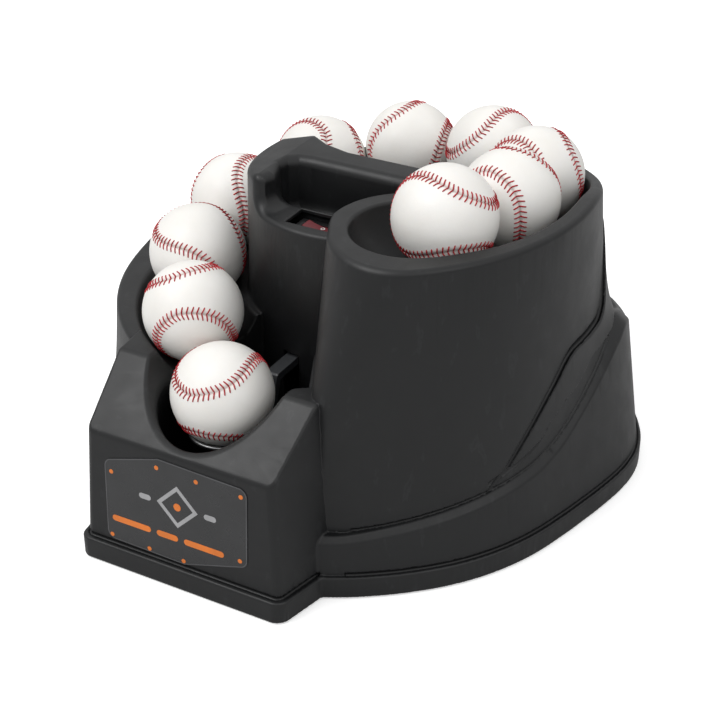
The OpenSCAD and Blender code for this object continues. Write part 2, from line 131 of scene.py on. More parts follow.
# ---------------------------------------------------------------- signed distance helpers
def round_max(a, b, r):
    """Where both a and b are inside, with an edge of radius r."""
    return np.minimum(np.maximum(a, b), -r) + np.hypot(np.maximum(a + r, 0), np.maximum(b + r, 0))


def fillet(a, b, r):
    """a and b joined, with a concave corner of radius r."""
    return -round_max(-a, -b, r)


def rule(points, spread=4.0):
    """A smooth curve through (angle, value) points, as a function of the angle in degrees."""
    angle = np.arange(-110.0, 290.5, 0.5)
    value = np.interp(angle, [p[0] for p in points], [p[1] for p in points])
    reach = np.arange(-60, 61)
    weight = np.exp(-0.5 * (reach * 0.5 / spread) ** 2)
    value = np.convolve(np.pad(value, 60, mode="edge"), weight / weight.sum(), "valid")
    return lambda t: np.interp(t, angle, value)


def points_of(p):
    """The arrays that the shape rules read: x, y, z, radius r and angle t from -90 to 270 degrees."""
    x, y, z = p[:, 0], p[:, 1], p[:, 2]
    t = np.degrees(np.arctan2(y, x))
    return SimpleNamespace(x=x, y=y, z=z, r=np.hypot(x, y), t=np.where(t < -90, t + 360, t))


def plane(q, a, b, c):
    """Distance in front of the plane through a, b and c, whose front sees them turn anticlockwise."""
    a, b, c = (np.array(v, float) for v in (a, b, c))
    n = np.cross(b - a, c - a)
    n /= np.linalg.norm(n)
    return (q.x - a[0]) * n[0] + (q.y - a[1]) * n[1] + (q.z - a[2]) * n[2]


def beside(q, a, b):
    """Distance to the right of the upright wall that runs from a to b."""
    dx, dy = b[0] - a[0], b[1] - a[1]
    return ((q.x - a[0]) * dy - (q.y - a[1]) * dx) / math.hypot(dx, dy)


def outline(q, corners):
    """Distance outside an upright prism with these corners."""
    near = np.full(q.x.shape, 1e9)
    inside = np.zeros(q.x.shape, bool)
    for (ax, ay), (bx, by) in zip(corners, corners[1:] + corners[:1]):
        ex, ey = bx - ax, by - ay
        px, py = q.x - ax, q.y - ay
        k = np.clip((px * ex + py * ey) / (ex * ex + ey * ey), 0, 1)
        near = np.minimum(near, np.hypot(px - k * ex, py - k * ey))
        if ay != by:
            crosses = (ay > q.y) != (by > q.y)
            inside ^= crosses & (q.x < (bx - ax) * (q.y - ay) / (by - ay) + ax)
    return np.where(inside, -near, near)


def block(q, low, high):
    return np.maximum.reduce([low[0] - q.x, q.x - high[0], low[1] - q.y, q.y - high[1], low[2] - q.z,
                              q.z - high[2]])


def rod(q, axis, at, radius):
    """Distance outside an endless rod along an axis, 0 to 2, through the other two coordinates."""
    u, v = [c for i, c in enumerate((q.x, q.y, q.z)) if i != axis]
    return np.hypot(u - at[0], v - at[1]) - radius


# ---------------------------------------------------------------- shape rules of the housing
# Each is a curve around the housing: angle in degrees, then the value there in mm.
# plan_r is the lip's radius; the ledge is the top of the skirt; the band is the raised leaf over it.
plan_r = rule([(-71, 199), (-58, 195), (-49, 193.6), (-30, 193), (-19, 193), (-12, 193.4), (-4, 196.5),
               (4, 203), (11, 211), (15, 215.5), (20, 220), (26, 222.5), (34, 223), (60, 221),
               (110, 215), (170, 208), (240, 205)], 2)
skirt_draft = rule([(-12, 0.105), (5, 0.115), (15, 0.13), (24, 0.145)])
ledge_z = rule([(-66, 42.5), (-49, 50), (-30, 58.8), (-18, 65), (-11, 72.5), (-6, 81.5), (3, 101.5),
                (11, 120.5), (19, 131), (25, 123), (31, 112), (45, 106), (90, 100), (180, 75),
                (236, 60)], 1.5)
ledge_w = rule([(-60, 4.4), (-20, 5), (-6, 6), (5, 8)])
drum_draft = rule([(-66, 0.045), (-50, 0.034), (-10, 0.032), (15, 0.072)])
drum_more = rule([(25, 0), (40, 4), (60, 7), (150, 6), (240, 4)])
drum_flare = rule([(-12, 0), (0, 2), (6, 5), (11, 8), (20, 8), (35, 8), (60, 5), (100, 3)])
rim_top = rule([(10, RIM_Z), (42, 220), (118, 181), (150, 165), (190, 147), (240, 145)], 5)
path_r = rule([(-45, 112), (-20, 116.5), (10, 117), (40, 126), (60, 130.5), (200, 130.5), (240, 134)])
band_top = rule([(-34, 56), (-30, 68), (-27, 77), (-23, 92), (-18, 109.5), (-14.5, 121), (-11, 131),
                 (-8.6, 139), (-6.7, 144), (-4.4, 146.4), (3, 147.7), (8.8, 149.6), (13, 158), (19, 190),
                 (30, 200), (55, 190), (90, 160), (120, 128)], 1)
band_low = rule([(-34, 68), (-20, 83), (-16, 89), (-13.4, 99), (-8.5, 108), (-2.6, 115), (-0.3, 122),
                 (2.4, 128), (7.4, 131), (10.8, 132), (24, 140), (60, 146), (90, 138), (120, 130)], 1)
band_proud = rule([(-34, 0), (-26, 0.8), (-10, 2.5), (2, 3.5), (12, 3.5), (20, 1.2), (60, 2), (84, 1.8),
                   (96, -3), (120, -8)])


def drum_r(z, t):
    """Radius of the drum's wall, which flares out above the ledge at the right."""
    foot = ledge_z(t) + ledge_w(t)
    flare = drum_flare(t) * np.exp(-np.maximum(z - foot, 0) / 18)
    return RIM_R + drum_draft(t) * (RIM_Z - z) + drum_more(t) + flare


def path_z(t):
    return FIRST_BALL[2] - TRACK_FALL * (t - FIRST_ANGLE)


def after(q, angle):
    """Distance past an upright half plane at an angle near the left, for angles past 150 degrees."""
    return np.where(q.t > 150, q.r * np.sin(np.radians(q.t - angle)), -FAR)


def before(q, angle):
    """Distance short of an upright half plane at an angle near the right front."""
    return np.where(q.t < 90 + angle, q.r * np.sin(np.radians(angle - q.t)), -FAR)


def drum(q):
    wall = q.r - drum_r(q.z, q.t)
    face = END_FACE[0] * q.x + END_FACE[1] * q.y - END_FACE_AT
    face = face - END_DRAFT * (RIM_Z - np.maximum(q.z, END_BEND_Z))
    face = face - END_DRAFT_LOW * np.maximum(END_BEND_Z - q.z, 0)
    face = np.where(q.t < 90, face, -FAR)
    turn = np.interp(q.z, (END_BEND_Z, RIM_Z), END_EDGE)
    body = round_max(wall, face, turn)
    body = round_max(body, q.z - rim_top(q.t), 4)
    ring = q.r - path_r(q.t) + RING
    across = (q.x - END_C[0]) * END_FACE[1] - (q.y - END_C[1]) * END_FACE[0]
    inner = np.where(q.t < DRUM_FROM, -across, ring)
    end = RING - np.hypot(q.x - END_C[0], q.y - END_C[1])
    hollow = np.maximum(np.maximum(inner, end), RECESS_Z - q.z)
    body = round_max(body, -hollow, 4)
    foot = ledge_z(q.t) + ledge_w(q.t)
    groove = np.hypot(wall, q.z - foot - 1) - 1.3
    groove = np.where((q.t > -64) & (q.t < 30), groove, AWAY)
    return np.maximum(round_max(body, -groove, 0.4), after(q, SKIRT_TO))


def band(q):
    """The leaf shaped raised band over the ledge, right of the front."""
    wall = q.r - drum_r(q.z, q.t) - band_proud(q.t)
    high = (q.z - band_top(q.t)) * 0.7
    low = (band_low(q.t) - q.z) * 0.8
    leaf = round_max(round_max(wall, high, 1.4), low, 1.4)
    return np.maximum(leaf, np.where((q.t > -34) & (q.t < 120), -FAR, AWAY))


def band_lines(q):
    """The thin grooves along the band's two edges."""
    wall = q.r - drum_r(q.z, q.t)
    high = np.hypot(wall, (q.z - band_top(q.t)) * 0.7 - 0.6) - 1.8
    low = np.hypot(wall - band_proud(q.t) / 2, (band_low(q.t) - q.z) * 0.8 - 0.6) - 1.6
    return np.maximum(np.minimum(high, low), np.where((q.t > -32) & (q.t < 60), -FAR, AWAY))


def skirt(q):
    lip = round_max(q.r - plan_r(q.t), q.z - LIP_H, 1.8)
    ledge = ledge_z(q.t)
    start = plan_r(q.t) - LIP_STEP
    wall = q.r - start + skirt_draft(q.t) * (q.z - LIP_H)
    corner = start - skirt_draft(q.t) * (ledge - LIP_H)
    strip = ((q.r - corner) + (q.z - ledge)) * math.sqrt(0.5)
    side = round_max(round_max(wall, strip, 0.9), q.z - ledge - ledge_w(q.t), 0.9)
    body = np.minimum(lip, side)
    return np.maximum(body, np.maximum(after(q, SKIRT_TO), before(q, SKIRT_FROM)))


def skirt_groove(q):
    """The thin line between lip and wall."""
    line = np.hypot(q.r - plan_r(q.t) + LIP_STEP, q.z - LIP_H - 0.5) - 1.4
    return np.maximum(line, np.maximum(after(q, SKIRT_TO), before(q, SKIRT_FROM + 6)))


def box_walls(q):
    left = plane(q, BOX_LEFT_BACK, BOX_LEFT, BOX_LEFT_HIGH)
    right = plane(q, BOX_RIGHT, BOX_RIGHT_BACK, BOX_RIGHT_HIGH)
    front = plane(q, BOX_LEFT, BOX_RIGHT, BOX_LEFT_HIGH)
    return round_max(np.maximum(left, right), front, 5.5)


def box_lip(q):
    left = beside(q, BOX_LIP[0], BOX_LIP[1])
    right = beside(q, BOX_LIP[2], BOX_LIP[3])
    return round_max(np.maximum(left, right), BOX_LIP_Y - q.y, 8)


def pocket_box(q):
    slope = plane(q, BOX_LEFT_HIGH, BOX_RIGHT_HIGH, BOX_TOP)
    body = round_max(box_walls(q), slope, 2)
    body = round_max(body, q.z - BOX_TOP[2], 2)
    lip = round_max(box_lip(q), q.z - LIP_H, 1.8)
    return np.maximum(np.minimum(body, lip), q.y - BOX_BACK_Y)


def box_groove(q):
    line = np.hypot(box_walls(q), q.z - LIP_H - 0.5) - 1.4
    return np.maximum(line, q.y + 150)


def tower(q):
    wall = q.r - TOWER_R - 0.02 * (HANDLE_Z - q.z)
    shelf = round_max(q.z - SHELF_Z, q.y + 45, 6)
    level = HANDLE_Z - GUSSET_SLOPE * np.maximum(GUSSET_FROM - q.x, 0)
    handle = round_max(q.z - level, outline(q, HANDLE), 7)
    top = fillet(fillet(q.z - RECESS_Z, shelf, 12), handle, 12)
    return round_max(wall, top, 4)


def outer_body(q):
    upper = fillet(round_max(np.minimum(drum(q), band(q)), -band_lines(q), 0.4), tower(q), 2)
    lower = fillet(skirt(q), pocket_box(q), 1.5)
    return np.minimum(upper, lower)


def trough(across, q_z, centre_z):
    """A U section: round below the centre line, straight above it."""
    down = q_z - centre_z
    bowl = (np.hypot(across / TRACK_HALF, down / TRACK_DEPTH) - 1) * TRACK_HALF
    return np.where(down < 0, bowl, np.abs(across) - TRACK_HALF)


def track(q):
    run = trough(q.r - path_r(q.t), q.z, path_z(q.t))
    run = np.maximum(run, np.maximum(before(q, DRUM_FROM), after(q, 250)))
    end = trough(np.hypot(q.x - END_C[0], q.y - END_C[1]), q.z, path_z(DRUM_FROM))
    return np.minimum(run, end)


def well(q):
    return np.minimum(outline(q, WELL), rod(q, 2, WELL_ROUND[:2], WELL_ROUND[2]))


def notch(q):
    return np.maximum(rod(q, 1, (POCKET[0], NOTCH_Z), NOTCH_R), q.y + 150)


BOSS_ANGLES = [-50, 0, 50, 100, 150, 200]
BOSS_X = [-90, 42]


def bosses(q):
    near = np.full(q.x.shape, 1e9)
    for t in np.radians(BOSS_ANGLES):
        reach = float(plan_r(np.degrees(t))) - 12
        near = np.minimum(near, rod(q, 2, (reach * math.cos(t), reach * math.sin(t)), 7))
    for x in BOSS_X:
        near = np.minimum(near, rod(q, 2, (x, -211.5), 7))
    return np.maximum(near, q.z - 36)


SOCKET = node_centre("charge_socket")
SWITCH = node_centre("switch_body")


def openings(q):
    """Arm slot, switch hole, the switch's seat around it and the charging recess."""
    slot = block(q, (-20.5, -100, 68), (-6.5, -60, 125))
    seat = block(q, (SWITCH[0] - 17, SWITCH[1] - 12, 217), (SWITCH[0] + 19, SWITCH[1] + 12, 250))
    hole = block(q, (SWITCH[0] - 12.2, SWITCH[1] - 8.2, 190), (SWITCH[0] + 14.2, SWITCH[1] + 8.2, 250))
    charge = block(q, (SOCKET[0] - 16, 196, SOCKET[2] - 14), (SOCKET[0] + 16, 260, SOCKET[2] + 18))
    return np.minimum.reduce([slot, seat, hole, charge])


def housing_field(p):
    q = points_of(p)
    body = outer_body(q)
    seat = np.maximum(q.z - 8.1, body + 5.5)
    body = round_max(body, -skirt_groove(q), 0.5)
    body = round_max(body, -box_groove(q), 0.5)
    body = round_max(body, -track(q), 2)
    body = round_max(body, -well(q), 2)
    body = round_max(body, -notch(q), 2.5)
    shell = np.maximum(body, -(body + WALL))
    backing = block(q, (SOCKET[0] - 19.5, 192, SOCKET[2] - 17.5), (SOCKET[0] + 19.5, 240, SOCKET[2] + 21.5))
    inner = np.minimum(bosses(q), backing)
    shell = np.minimum(shell, np.maximum(inner, body + 1))
    shell = round_max(shell, -openings(q), 0.8)
    shell = np.maximum(shell, -seat)
    return round_max(shell, LIP_Z - q.z, 0.8)


# ---------------------------------------------------------------- a mesh from a field
BLOCK = 4
CHUNK = 3000


def sample_grid(field, low, shape, cell):
    """The field on a grid, worked out only in blocks near its surface."""
    blocks = -(-shape // BLOCK)
    where = np.stack(np.meshgrid(*[np.arange(n) for n in blocks], indexing="ij"), -1).reshape(-1, 3)
    middle = low + (where * BLOCK + (BLOCK - 1) / 2) * cell
    rough = np.concatenate([field(part) for part in np.array_split(middle, len(middle) // 200000 + 1)])
    values = np.repeat(np.sign(rough)[:, None], BLOCK ** 3, 1).astype(np.float32)
    close = np.flatnonzero(np.abs(rough) < BLOCK * cell * 1.4)
    step = np.stack(np.meshgrid(*[np.arange(BLOCK)] * 3, indexing="ij"), -1).reshape(-1, 3)
    for i in range(0, len(close), CHUNK):
        part = close[i:i + CHUNK]
        at = low + (where[part][:, None] * BLOCK + step[None]) * cell
        values[part] = field(at.reshape(-1, 3)).reshape(len(part), -1)
    values = values.reshape(*blocks, BLOCK, BLOCK, BLOCK).transpose(0, 3, 1, 4, 2, 5)
    return values.reshape(blocks * BLOCK)


def surface_nets(values, low, cell):
    """Points and quads of the surface where the grid's values change sign."""
    inside = values < 0
    count = np.zeros(np.array(values.shape) - 1, np.uint8)
    corner = [(i, j, k) for i in (0, 1) for j in (0, 1) for k in (0, 1)]
    nx, ny, nz = count.shape
    for i, j, k in corner:
        count += inside[i:i + nx, j:j + ny, k:k + nz]
    cells = np.argwhere((count > 0) & (count < 8))
    at = [values[cells[:, 0] + i, cells[:, 1] + j, cells[:, 2] + k] for i, j, k in corner]
    total = np.zeros((len(cells), 3))
    hits = np.zeros(len(cells))
    for a in range(8):
        for b in range(a + 1, 8):
            if sum(u != v for u, v in zip(corner[a], corner[b])) != 1:
                continue
            crossed = (at[a] < 0) != (at[b] < 0)
            share = at[a][crossed] / (at[a][crossed] - at[b][crossed])
            start = np.array(corner[a], float)
            total[crossed] += start + share[:, None] * (np.array(corner[b]) - start)
            hits[crossed] += 1
    points = low + (cells + total / hits[:, None]) * cell
    index = np.full(count.shape, -1, np.int32)
    index[tuple(cells.T)] = np.arange(len(cells), dtype=np.int32)
    quads = []
    for axis in range(3):
        along = [slice(None)] * 3
        ahead = [slice(None)] * 3
        along[axis] = slice(0, -1)
        ahead[axis] = slice(1, None)
        first = inside[tuple(along)]
        changed = np.argwhere(first != inside[tuple(ahead)])
        u, v = (axis + 1) % 3, (axis + 2) % 3
        changed = changed[(changed[:, u] > 0) & (changed[:, v] > 0)]
        changed = changed[(changed[:, u] < count.shape[u]) & (changed[:, v] < count.shape[v])]
        ring = []
        for du, dv in ((1, 1), (0, 1), (0, 0), (1, 0)):
            cell_at = changed.copy()
            cell_at[:, u] -= du
            cell_at[:, v] -= dv
            ring.append(index[tuple(cell_at.T)])
        quad = np.stack(ring, 1)
        leaves = first[tuple(changed.T)]
        quads.append(np.where(leaves[:, None], quad, quad[:, ::-1]))
    return points, np.concatenate(quads)


def slope_of(field, p, h=0.12):
    """Gradient of the field at each point."""
    out = np.empty_like(p)
    for axis in range(3):
        d = np.zeros(3)
        d[axis] = h
        out[:, axis] = (field(p + d) - field(p - d)) / (2 * h)
    return out


def settle(field, p, cell, rounds=2):
    """Moves points onto the surface."""
    for _ in range(rounds):
        g = slope_of(field, p)
        steep = np.maximum((g * g).sum(1), 0.2)
        move = -(field(p) / steep)[:, None] * g
        size = np.maximum(np.linalg.norm(move, axis=1), 1e-9)
        p = p + move * np.minimum(1, 0.6 * cell / size)[:, None]
    return p


def mesh_from(name, points, faces):
    """A Blender mesh, in metres, from points in mm and rows of corner numbers."""
    mesh = bpy.data.meshes.new(name)
    mesh.vertices.add(len(points))
    mesh.vertices.foreach_set("co", (points * MM).astype(np.float32).ravel())
    mesh.loops.add(faces.size)
    mesh.loops.foreach_set("vertex_index", faces.astype(np.int32).ravel())
    mesh.polygons.add(len(faces))
    mesh.polygons.foreach_set("loop_start", np.arange(0, faces.size, faces.shape[1], dtype=np.int32))
    mesh.update(calc_edges=True)
    return mesh


def thinned(mesh, faces):
    """The mesh decimated to this many triangles."""
    source = bpy.data.objects.new("thinning", mesh)
    bpy.context.scene.collection.objects.link(source)
    thin = source.modifiers.new("thin", "DECIMATE")
    thin.ratio = min(1.0, faces / (2 * len(mesh.polygons)))
    graph = bpy.context.evaluated_depsgraph_get()
    made = bpy.data.meshes.new_from_object(source.evaluated_get(graph))
    bpy.data.objects.remove(source)
    return made


def field_piece(name, field, low, high, cell, faces, material):
    """An object whose surface is where the field is zero, shaded with the field's own normals."""
    low = np.array(low, float)
    shape = np.ceil((np.array(high) - low) / cell).astype(int) + 1
    points, quads = surface_nets(sample_grid(field, low, shape, cell), low, cell)
    points = settle(field, points, cell)
    mesh = mesh_from(name, points, quads)
    if faces:
        mesh = thinned(mesh, faces)
    at = np.empty(len(mesh.vertices) * 3, np.float32)
    mesh.vertices.foreach_get("co", at)
    normals = slope_of(field, at.reshape(-1, 3).astype(float) / MM)
    normals /= np.maximum(np.linalg.norm(normals, axis=1), 1e-9)[:, None]
    mesh.polygons.foreach_set("use_smooth", np.ones(len(mesh.polygons), bool))
    mesh.normals_split_custom_set_from_vertices(normals)
    mesh.materials.append(material)
    piece = bpy.data.objects.new(name, mesh)
    bpy.context.scene.collection.objects.link(piece)
    return piece


# ---------------------------------------------------------------- materials
def new_material(name):
    made = bpy.data.materials.new(name)
    made.use_nodes = True
    return made, made.node_tree, made.node_tree.nodes["Principled BSDF"]


def add(tree, kind, **values):
    """A shader node with its properties and unlinked inputs set."""
    made = tree.nodes.new(kind)
    for key, value in values.items():
        if hasattr(made, key):
            setattr(made, key, value)
        else:
            made.inputs[key.replace("_", " ")].default_value = value
    return made


def noise(tree, scale, detail=4.0, stretch=(1, 1, 1)):
    """Noise over the object's own coordinates; scale is in bumps per metre."""
    where = tree.nodes.new("ShaderNodeTexCoord")
    mapped = tree.nodes.new("ShaderNodeMapping")
    mapped.inputs["Scale"].default_value = stretch
    made = add(tree, "ShaderNodeTexNoise", Scale=scale, Detail=detail)
    tree.links.new(where.outputs["Object"], mapped.inputs["Vector"])
    tree.links.new(mapped.outputs["Vector"], made.inputs["Vector"])
    return made.outputs["Fac"]


def ramp(tree, source, *stops):
    """A colour ramp; each stop is (place, grey level or colour)."""
    made = tree.nodes.new("ShaderNodeValToRGB")
    elements = made.color_ramp.elements
    while len(elements) < len(stops):
        elements.new(0.5)
    for element, (place, colour) in zip(elements, stops):
        element.position = place
        element.color = (*colour, 1) if isinstance(colour, tuple) else (colour, colour, colour, 1)
    tree.links.new(source, made.inputs["Fac"])
    return made.outputs["Color"]


def bumped(tree, bsdf, *layers):
    """Bump from (height, depth in mm) layers, one after another."""
    last = None
    for height, depth in layers:
        made = add(tree, "ShaderNodeBump", Strength=1.0, Distance=depth * MM)
        tree.links.new(height, made.inputs["Height"])
        if last:
            tree.links.new(last, made.inputs["Normal"])
        last = made.outputs["Normal"]
    tree.links.new(last, bsdf.inputs["Normal"])


def threshold(tree, source, value):
    """White where the source is over the value."""
    made = add(tree, "ShaderNodeMath", operation="GREATER_THAN")
    made.inputs[1].default_value = value
    tree.links.new(source, made.inputs[0])
    return made.outputs[0]


def mixed(tree, share, first, second):
    """A colour between two, which are sockets or plain colours."""
    made = add(tree, "ShaderNodeMix", data_type="RGBA")
    tree.links.new(share, made.inputs["Factor"])
    for socket, value in ((made.inputs[6], first), (made.inputs[7], second)):
        if isinstance(value, tuple):
            socket.default_value = (*value, 1)
        else:
            tree.links.new(value, socket)
    return made.outputs[2]


def moulded(name, dark, light, rough=(0.38, 0.52), grain=0.05, scuff=0.0, shine=0.5):
    """Moulded plastic: fine grain, faint colour drift, uneven polish and, where asked, pale scuffs."""
    made, tree, bsdf = new_material(name)
    colour = ramp(tree, noise(tree, 18, 6), (0.3, dark), (0.7, light))
    polish = ramp(tree, noise(tree, 60, 8), (0.35, rough[0]), (0.65, rough[1]))
    layers = [(noise(tree, 1400, 2), grain), (noise(tree, 25, 3), grain * 0.4)]
    if scuff:
        streak = noise(tree, 110, 9, (1.0, 1.0, 0.4))
        mark = ramp(tree, streak, (0.62, 0.0), (0.68, scuff), (0.74, 0.0))
        pale = tuple(3.5 * value for value in light)
        colour = mixed(tree, mark, colour, pale)
    tree.links.new(colour, bsdf.inputs["Base Color"])
    tree.links.new(polish, bsdf.inputs["Roughness"])
    bsdf.inputs["Specular IOR Level"].default_value = shine
    bumped(tree, bsdf, *layers)
    return made


def glossy(name, colour, rough=0.18, coat=0.4):
    """Smooth plastic or coated wire: faint smudges in its gloss."""
    made, tree, bsdf = new_material(name)
    deep = tuple(0.8 * value for value in colour)
    tree.links.new(ramp(tree, noise(tree, 40, 5), (0.35, deep), (0.65, colour)), bsdf.inputs["Base Color"])
    polish = ramp(tree, noise(tree, 90, 7), (0.35, rough), (0.7, rough + 0.14))
    tree.links.new(polish, bsdf.inputs["Roughness"])
    bsdf.inputs["Coat Weight"].default_value = coat
    bumped(tree, bsdf, (noise(tree, 700, 2), 0.008))
    return made


def metal(name, dark, light, rough=(0.25, 0.45), stretch=(1, 1, 1), depth=0.02):
    """Bare or plated metal with brushed streaks and stains."""
    made, tree, bsdf = new_material(name)
    colour = ramp(tree, noise(tree, 80, 6, stretch), (0.3, dark), (0.7, light))
    tree.links.new(colour, bsdf.inputs["Base Color"])
    bsdf.inputs["Metallic"].default_value = 1.0
    polish = ramp(tree, noise(tree, 200, 6, stretch), (0.3, rough[0]), (0.7, rough[1]))
    tree.links.new(polish, bsdf.inputs["Roughness"])
    bumped(tree, bsdf, (noise(tree, 900, 3, stretch), depth))
    return made


def painted(name, dark, light):
    """Sprayed metal: orange peel and a few worn specks."""
    made, tree, bsdf = new_material(name)
    coat = ramp(tree, noise(tree, 30, 5), (0.3, dark), (0.7, light))
    worn = threshold(tree, noise(tree, 260, 8), 0.73)
    tree.links.new(mixed(tree, worn, coat, (0.35, 0.35, 0.36)), bsdf.inputs["Base Color"])
    tree.links.new(worn, bsdf.inputs["Metallic"])
    tree.links.new(ramp(tree, noise(tree, 120, 6), (0.3, 0.3), (0.7, 0.45)), bsdf.inputs["Roughness"])
    bumped(tree, bsdf, (noise(tree, 500, 2), 0.04))
    return made


def ball_leather():
    """White leather: pebbled, with soft stains and painted shade darkening the crease along the seam."""
    made, tree, bsdf = new_material("ball_leather")
    clean = ramp(tree, noise(tree, 30, 6), (0.3, (0.805, 0.785, 0.745)), (0.7, (0.865, 0.85, 0.82)))
    # painted shade: the seam attribute darkens the leather in the crease along the seam
    seam = add(tree, "ShaderNodeAttribute", attribute_name="seam").outputs["Fac"]
    tree.links.new(mixed(tree, seam, clean, (0.42, 0.33, 0.30)), bsdf.inputs["Base Color"])
    tree.links.new(ramp(tree, noise(tree, 150, 7), (0.3, 0.38), (0.7, 0.56)), bsdf.inputs["Roughness"])
    bsdf.inputs["Subsurface Weight"].default_value = 0.04
    bsdf.inputs["Subsurface Radius"].default_value = (0.002, 0.0015, 0.001)
    bumped(tree, bsdf, (noise(tree, 900, 3), 0.06), (noise(tree, 160, 3), 0.12))
    return made


def thread_red():
    made, tree, bsdf = new_material("thread_red")
    tree.links.new(ramp(tree, noise(tree, 300, 4), (0.3, (0.33, 0.006, 0.012)), (0.7, (0.46, 0.014, 0.022))),
                   bsdf.inputs["Base Color"])
    tree.links.new(ramp(tree, noise(tree, 700, 4), (0.3, 0.5), (0.7, 0.75)), bsdf.inputs["Roughness"])
    bumped(tree, bsdf, (noise(tree, 2500, 2), 0.08))
    return made


shell_black = moulded("shell_black", (0.0068, 0.0072, 0.0078), (0.0084, 0.0088, 0.0095), (0.4, 0.46),
                      grain=0.06, scuff=0.25, shine=0.42)
tray_black = moulded("tray_black", (0.008, 0.008, 0.009), (0.014, 0.014, 0.015), (0.5, 0.65))
film_black = glossy("film_black", (0.022, 0.0225, 0.024), 0.24, 0.2)
trim_grey = glossy("trim_grey", (0.09, 0.09, 0.095), 0.3, 0.0)
emblem_grey = glossy("emblem_grey", (0.42, 0.42, 0.43), 0.3, 0.0)
print_orange = glossy("print_orange", (0.83, 0.21, 0.025), 0.32, 0.0)
mark_white = glossy("mark_white", (0.7, 0.7, 0.68), 0.3, 0.0)
ALONG_X = (0.06, 1, 1)
looks = {
    "tray": tray_black,
    "rubber": moulded("rubber_black", (0.006, 0.006, 0.006), (0.013, 0.013, 0.013), (0.7, 0.85), 0.09),
    "screw_steel": metal("zinc_plate", (0.45, 0.46, 0.47), (0.66, 0.67, 0.68), (0.24, 0.4)),
    "label": film_black,
    "frame_steel": metal("sheet_steel", (0.38, 0.39, 0.4), (0.55, 0.56, 0.57), (0.34, 0.5), (1, 1, 0.06)),
    "bronze": metal("sintered_bronze", (0.42, 0.25, 0.1), (0.62, 0.4, 0.2), (0.3, 0.45)),
    "arm_steel": painted("arm_grey", (0.035, 0.037, 0.04), (0.055, 0.058, 0.062)),
    "gear": metal("gear_brass", (0.55, 0.4, 0.17), (0.7, 0.55, 0.27), (0.25, 0.38), ALONG_X),
    "pinion": moulded("nylon_white", (0.6, 0.58, 0.52), (0.7, 0.68, 0.62), (0.35, 0.5), 0.03),
    "gearbox": painted("gearbox_grey", (0.07, 0.075, 0.08), (0.1, 0.105, 0.11)),
    "motor": metal("motor_can", (0.42, 0.43, 0.44), (0.6, 0.61, 0.62), (0.22, 0.36), ALONG_X),
    "spring_steel": metal("spring_wire", (0.4, 0.41, 0.42), (0.6, 0.61, 0.62), (0.22, 0.35)),
    "wire_form": metal("bright_wire", (0.3, 0.305, 0.31), (0.42, 0.425, 0.43), (0.3, 0.42)),
    "switch_black": glossy("switch_black", (0.009, 0.009, 0.0095), 0.25, 0.3),
    "rocker_red": glossy("rocker_red", (0.13, 0.004, 0.01), 0.3, 0.0),
    "battery": moulded("battery_case", (0.02, 0.03, 0.045), (0.035, 0.048, 0.07), (0.4, 0.55), 0.06),
    "terminal": metal("tinned_tab", (0.5, 0.34, 0.14), (0.68, 0.5, 0.24), (0.25, 0.4)),
    "strap": painted("strap_grey", (0.1, 0.105, 0.11), (0.15, 0.155, 0.16)),
    "wire_red": glossy("wire_red", (0.4, 0.012, 0.014), 0.3, 0.1),
    "wire_black": glossy("wire_black", (0.012, 0.012, 0.013), 0.3, 0.1),
}
BEVELLED = {"battery": 2.0, "gearbox": 1.2, "switch_rocker": 0.5, "switch_body": 0.3, "charge_cap": 0.5,
            "throw_arm": 0.5, "mechanism_frame": 0.4}

for part in frame["record"]["subparts"]:
    if part["material_slot"] not in looks:
        continue
    shown = frame["nodes"][part["node"]]
    shown.data.materials.clear()
    shown.data.materials.append(looks[part["material_slot"]])
    if part["node"] in BEVELLED:
        soften = shown.modifiers.new("soft_edges", "BEVEL")
        soften.width = BEVELLED[part["node"]] * MM
        soften.segments = 2
        soften.angle_limit = math.radians(40)

# ---------------------------------------------------------------- the housing
low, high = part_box("housing")
MARGIN = 4.0
CELL = 1.25
TRIANGLES = 190000    # 0 leaves the mesh as it is
housing = field_piece("housing_shell", housing_field, np.array(low) / MM - MARGIN,
                      np.array(high) / MM + MARGIN, CELL, TRIANGLES, shell_black)
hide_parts("housing")
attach(housing, "casing")

# ---------------------------------------------------------------- baseballs
SEAM_PINCH = 0.4       # shapes the seam: a larger value brings its two loops closer together
STITCHES = 112
BALL_GRID = 56
LEATHER_R = BALL_R - 0.2
THREAD_R = 0.5
# How each ball lies: turned about Z, tipped about X, then turned about Z again, in degrees.
BALL_TURNS = [(84, 85, 69), (327, 16, 294), (236, 141, 90), (155, 78, 331), (141, 38, 231), (265, 146, 119),
              (28, 158, 306), (85, 106, 14), (3, 46, 301), (355, 88, 96)]


def unit(v):
    return v / np.linalg.norm(v, axis=-1, keepdims=True)


def seam_points(count):
    """Points on the unit sphere, evenly spaced along the seam."""
    t = np.linspace(0, 4 * np.pi, 6000)
    polar = np.pi / 2 - (np.pi / 2 - SEAM_PINCH) * np.cos(t)
    turn = t / 2 + SEAM_PINCH * np.sin(2 * t)
    fine = np.stack([np.sin(polar) * np.cos(turn), np.sin(polar) * np.sin(turn), np.cos(polar)], 1)
    along = np.concatenate([[0], np.cumsum(np.linalg.norm(np.diff(fine, axis=0), axis=1))])
    want = np.linspace(0, along[-1], count, endpoint=False)
    return unit(np.stack([np.interp(want, along, fine[:, i]) for i in range(3)], 1))


